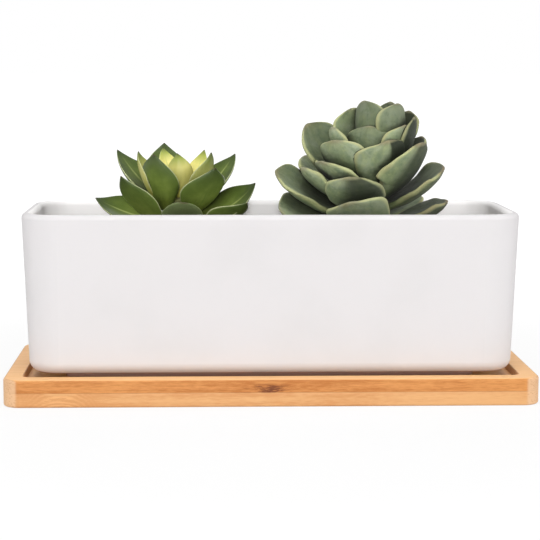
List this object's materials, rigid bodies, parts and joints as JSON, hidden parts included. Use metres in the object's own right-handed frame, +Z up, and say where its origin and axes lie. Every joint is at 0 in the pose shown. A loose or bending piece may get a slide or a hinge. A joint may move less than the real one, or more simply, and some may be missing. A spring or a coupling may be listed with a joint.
{
  "type": "indoor planter",
  "caption": "Long ceramic trough planter standing in the recess of a bamboo drip tray, filled with soil and planted with rosette succulents; trough and plants lift out.",
  "frame": {"origin": "on the table, under the middle of the tray", "axes": "+X along the trough, towards the taller plant; +Y away from the front; +Z up"},
  "size_m": [0.28, 0.115, 0.1563],
  "materials": {
    "bamboo_lower": "satin",
    "bamboo_upper": "satin",
    "white_glaze": "satin",
    "black_net": "matte",
    "soil": "matte",
    "stem": "matte",
    "glossy_leaf": "satin",
    "powdery_leaf": "matte"
  },
  "bodies": {
    "tray": {"tray_lower_ply": "bamboo_lower", "tray_upper_ply": "bamboo_upper"},
    "trough": {"pot": "white_glaze", "drain_screens": "black_net", "potting_soil": "soil"},
    "left_plant": {"left_root_ball": "soil", "left_stem": "stem", "left_leaf_01": "glossy_leaf", "left_leaf_02": "glossy_leaf", "left_leaf_03": "glossy_leaf", "left_leaf_04": "glossy_leaf", "left_leaf_05": "glossy_leaf", "left_leaf_06": "glossy_leaf", "left_leaf_07": "glossy_leaf", "left_leaf_08": "glossy_leaf", "left_leaf_09": "glossy_leaf", "left_leaf_10": "glossy_leaf", "left_leaf_11": "glossy_leaf", "left_leaf_12": "glossy_leaf", "left_leaf_13": "glossy_leaf", "left_leaf_14": "glossy_leaf", "left_leaf_15": "glossy_leaf", "left_leaf_16": "glossy_leaf", "left_leaf_17": "glossy_leaf", "left_leaf_18": "glossy_leaf", "left_leaf_19": "glossy_leaf"},
    "right_plant": {"right_root_ball": "soil", "right_stem": "stem", "right_leaf_01": "powdery_leaf", "right_leaf_02": "powdery_leaf", "right_leaf_03": "powdery_leaf", "right_leaf_04": "powdery_leaf", "right_leaf_05": "powdery_leaf", "right_leaf_06": "powdery_leaf", "right_leaf_07": "powdery_leaf", "right_leaf_08": "powdery_leaf", "right_leaf_09": "powdery_leaf", "right_leaf_10": "powdery_leaf", "right_leaf_11": "powdery_leaf", "right_leaf_12": "powdery_leaf", "right_leaf_13": "powdery_leaf", "right_leaf_14": "powdery_leaf", "right_leaf_15": "powdery_leaf", "right_leaf_16": "powdery_leaf", "right_leaf_17": "powdery_leaf", "right_leaf_18": "powdery_leaf", "right_leaf_19": "powdery_leaf", "right_leaf_20": "powdery_leaf", "right_leaf_21": "powdery_leaf", "right_leaf_22": "powdery_leaf", "right_leaf_23": "powdery_leaf", "right_leaf_24": "powdery_leaf", "right_leaf_25": "powdery_leaf", "right_leaf_26": "powdery_leaf", "right_leaf_27": "powdery_leaf", "right_leaf_28": "powdery_leaf", "right_leaf_29": "powdery_leaf", "right_leaf_30": "powdery_leaf", "right_leaf_31": "powdery_leaf"}
  },
  "joints": [
    {"name": "trough_lift", "type": "slide", "parent": "tray", "child": "trough", "axis": [0, 0, 1], "range_m": [0, 0.12]},
    {"name": "left_plant_lift", "type": "slide", "parent": "trough", "child": "left_plant", "axis": [0, 0, 1], "range_m": [0, 0.12]},
    {"name": "right_plant_lift", "type": "slide", "parent": "trough", "child": "right_plant", "axis": [0, 0, 1], "range_m": [0, 0.12]}
  ]
}
